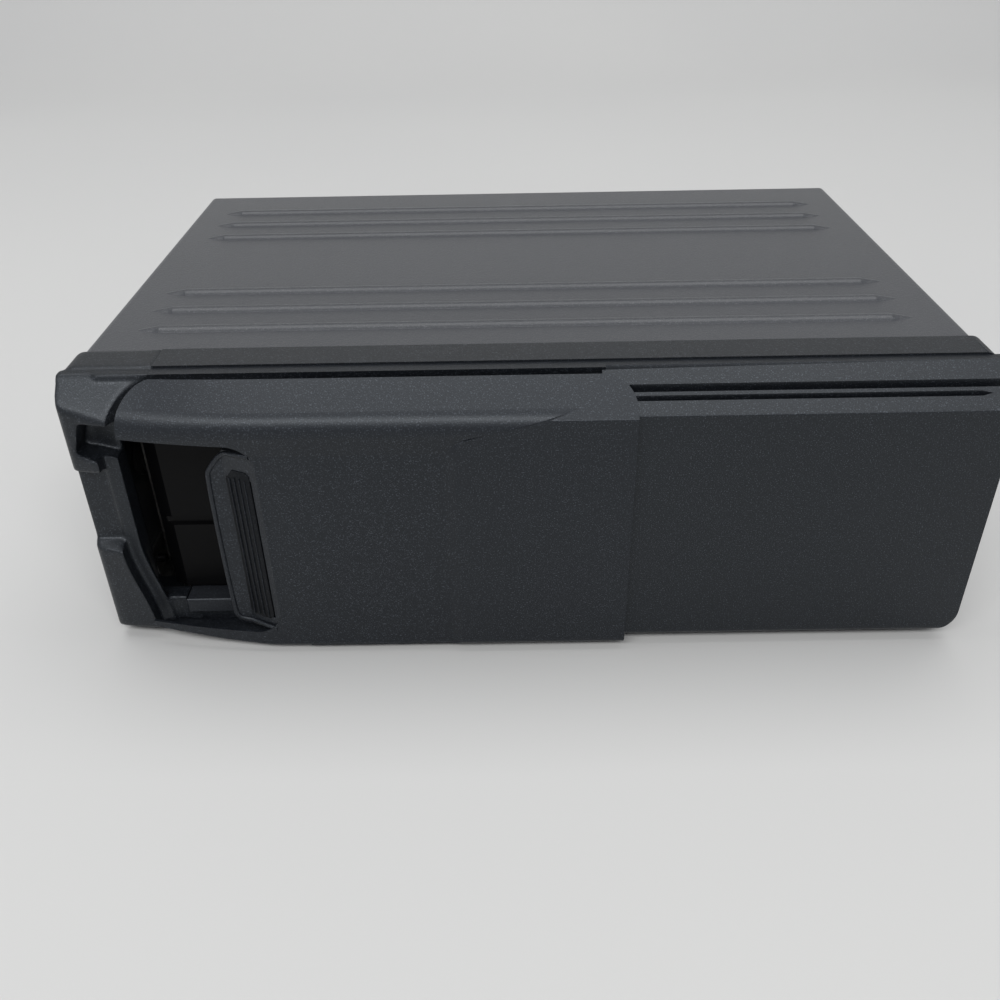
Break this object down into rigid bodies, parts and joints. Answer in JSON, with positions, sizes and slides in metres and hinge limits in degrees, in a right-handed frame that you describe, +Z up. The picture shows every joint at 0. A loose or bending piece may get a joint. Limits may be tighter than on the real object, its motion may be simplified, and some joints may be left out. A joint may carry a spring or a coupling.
{
  "type": "car cd changer",
  "caption": "Boot-mounted car disc changer: steel case with pressed beads, moulded front with a sliding door over a slide-in disc magazine, and the loading and playing mechanism inside.",
  "frame": {"origin": "under the middle of the whole unit, on the plane it stands on", "axes": "+X to the right seen from the front, +Y to the rear, +Z up"},
  "size_m": [0.262, 0.1855, 0.0902],
  "materials": {
    "cover_paint": "satin dark grey paint",
    "case_steel": "zinc plated sheet, dull",
    "bezel_plastic": "fine grained moulding",
    "door_plastic": "fine grained moulding",
    "magazine_plastic": "black moulding",
    "tray_plastic": "grey moulding",
    "button_plastic": "fine grained moulding",
    "dial_plastic": "black moulding",
    "screw_steel": "blackened",
    "plated_steel": "zinc plated",
    "spring_steel": "bright drawn",
    "gear_plastic": "white low friction moulding",
    "drive_plastic": "black moulding",
    "motor_can": "plated can",
    "rubber": "soft",
    "lens_glass": "clear lens",
    "board_laminate": "solder masked laminate",
    "component_black": "moulded packages",
    "socket_plastic": "black moulding",
    "contact_brass": "gold flashed"
  },
  "bodies": {
    "case": {"top_cover": "cover_paint", "bottom_plate": "case_steel", "rear_panel": "case_steel", "case_screws": "screw_steel", "bracket_nuts": "plated_steel", "front_bezel": "bezel_plastic", "door_detent": "spring_steel", "mech_frame": "plated_steel", "magazine_runners": "magazine_plastic", "cam_studs": "plated_steel", "lift_motor": "motor_can", "lift_bracket": "plated_steel", "suspension_boots": "rubber", "suspension_studs": "plated_steel", "suspension_springs": "spring_steel", "lever_pivot": "plated_steel", "main_board": "board_laminate", "board_posts": "plated_steel", "board_components": "component_black", "control_socket": "socket_plastic", "socket_contacts": "contact_brass"},
    "door": {"sliding_door": "door_plastic"},
    "magazine": {"magazine_shell": "magazine_plastic", "disc_tray_01": "tray_plastic", "disc_tray_02": "tray_plastic", "disc_tray_03": "tray_plastic", "disc_tray_04": "tray_plastic", "disc_tray_05": "tray_plastic", "disc_tray_06": "tray_plastic", "disc_tray_07": "tray_plastic", "disc_tray_08": "tray_plastic", "disc_tray_09": "tray_plastic"},
    "loading_tray": {"disc_tray_10": "tray_plastic"},
    "drive_unit": {"drive_chassis": "drive_plastic", "lift_pins": "plated_steel", "spindle_motor": "motor_can", "guide_rods": "plated_steel", "sled_motor": "motor_can"},
    "front_cam": {"front_cam_plate": "plated_steel"},
    "rear_cam": {"rear_cam_plate": "plated_steel"},
    "lift_gearing": {"lift_gear": "gear_plastic"},
    "worm": {"lift_worm": "gear_plastic"},
    "spindle": {"turntable": "drive_plastic"},
    "clamp": {"clamp_arm": "plated_steel"},
    "puck": {"clamp_puck": "drive_plastic"},
    "pickup": {"pickup_body": "drive_plastic", "pickup_lens": "lens_glass"},
    "sled_pinion": {"sled_gear": "gear_plastic"},
    "sled_screw": {"sled_worm": "gear_plastic"},
    "eject": {"eject_button": "button_plastic", "button_spring": "spring_steel"},
    "eject_crank": {"eject_lever": "gear_plastic"},
    "dial_left": {"left_dial": "dial_plastic"},
    "dial_right": {"right_dial": "dial_plastic"}
  },
  "joints": [
    {"name": "door_slide", "type": "slide", "parent": "case", "child": "door", "axis": [1, 0, 0], "range_m": [0, 0.1017]},
    {"name": "magazine_slide", "type": "slide", "parent": "case", "child": "magazine", "axis": [0, 1, 0], "range_m": [-0.009, 0]},
    {"name": "tray_slide", "type": "slide", "parent": "magazine", "child": "loading_tray", "axis": [1, 0, 0], "range_m": [0, 0.109]},
    {"name": "lift", "type": "slide", "parent": "case", "child": "drive_unit", "axis": [0, 0, 1], "range_m": [-0.0486, 0]},
    {"name": "front_cam_slide", "type": "slide", "parent": "case", "child": "front_cam", "axis": [1, 0, 0], "range_m": [0, 0.03]},
    {"name": "rear_cam_slide", "type": "slide", "parent": "case", "child": "rear_cam", "axis": [1, 0, 0], "range_m": [0, 0.03]},
    {"name": "lift_gear_turn", "type": "hinge", "parent": "case", "child": "lift_gearing", "pos_m": [0.0685, 0.0654, 0.073], "axis": [0, 1, 0], "range_deg": [-358.2, 0]},
    {"name": "lift_worm_turn", "type": "hinge", "parent": "case", "child": "worm", "pos_m": [0.08508, 0.076, 0.073], "axis": [0, 0, 1], "range_deg": [0, 10743.5]},
    {"name": "spindle_spin", "type": "hinge", "parent": "drive_unit", "child": "spindle", "pos_m": [0.059, -0.006, 0.06], "axis": [0, 0, 1], "continuous": true},
    {"name": "clamp_drop", "type": "hinge", "parent": "drive_unit", "child": "clamp", "pos_m": [0.059, 0.0595, 0.0725], "axis": [1, 0, 0], "range_deg": [0, 3.1]},
    {"name": "puck_spin", "type": "hinge", "parent": "clamp", "child": "puck", "pos_m": [0.059, -0.006, 0.07], "axis": [0, 0, 1], "continuous": true},
    {"name": "sled_slide", "type": "slide", "parent": "drive_unit", "child": "pickup", "axis": [0, 1, 0], "range_m": [0, 0.033]},
    {"name": "sled_gear_turn", "type": "hinge", "parent": "drive_unit", "child": "sled_pinion", "pos_m": [0.0856, 0.02, 0.058], "axis": [0, 0, 1], "range_deg": [-295.53, 0]},
    {"name": "sled_worm_turn", "type": "hinge", "parent": "drive_unit", "child": "sled_screw", "pos_m": [0.09478, 0.02, 0.0577], "axis": [0, 1, 0], "range_deg": [0, 4727.4]},
    {"name": "eject_press", "type": "slide", "parent": "case", "child": "eject", "axis": [0, 1, 0], "range_m": [0, 0.003], "stiffness_N_per_m": 250},
    {"name": "eject_crank_turn", "type": "hinge", "parent": "case", "child": "eject_crank", "pos_m": [-0.112, -0.063, 0.008], "axis": [0, 0, 1], "range_deg": [0, 7.21]},
    {"name": "left_dial_turn", "type": "hinge", "parent": "case", "child": "dial_left", "pos_m": [-0.1285, 0.008, 0.044], "axis": [1, 0, 0], "range_deg": [0, 90]},
    {"name": "right_dial_turn", "type": "hinge", "parent": "case", "child": "dial_right", "pos_m": [0.1285, 0.008, 0.044], "axis": [1, 0, 0], "range_deg": [0, 90]}
  ],
  "couplings": [
    {"joint": "front_cam_slide", "follows": "lift", "ratio": -0.61728},
    {"joint": "rear_cam_slide", "follows": "lift", "ratio": -0.61728},
    {"joint": "lift_gear_turn", "follows": "lift", "rad_per_m": 128.6},
    {"joint": "lift_worm_turn", "follows": "lift", "rad_per_m": -3858},
    {"joint": "puck_spin", "follows": "spindle_spin", "ratio": 1},
    {"joint": "sled_gear_turn", "follows": "sled_slide", "rad_per_m": -156.25},
    {"joint": "sled_worm_turn", "follows": "sled_slide", "rad_per_m": 2500},
    {"joint": "eject_crank_turn", "follows": "eject_press", "rad_per_m": 41.667}
  ]
}
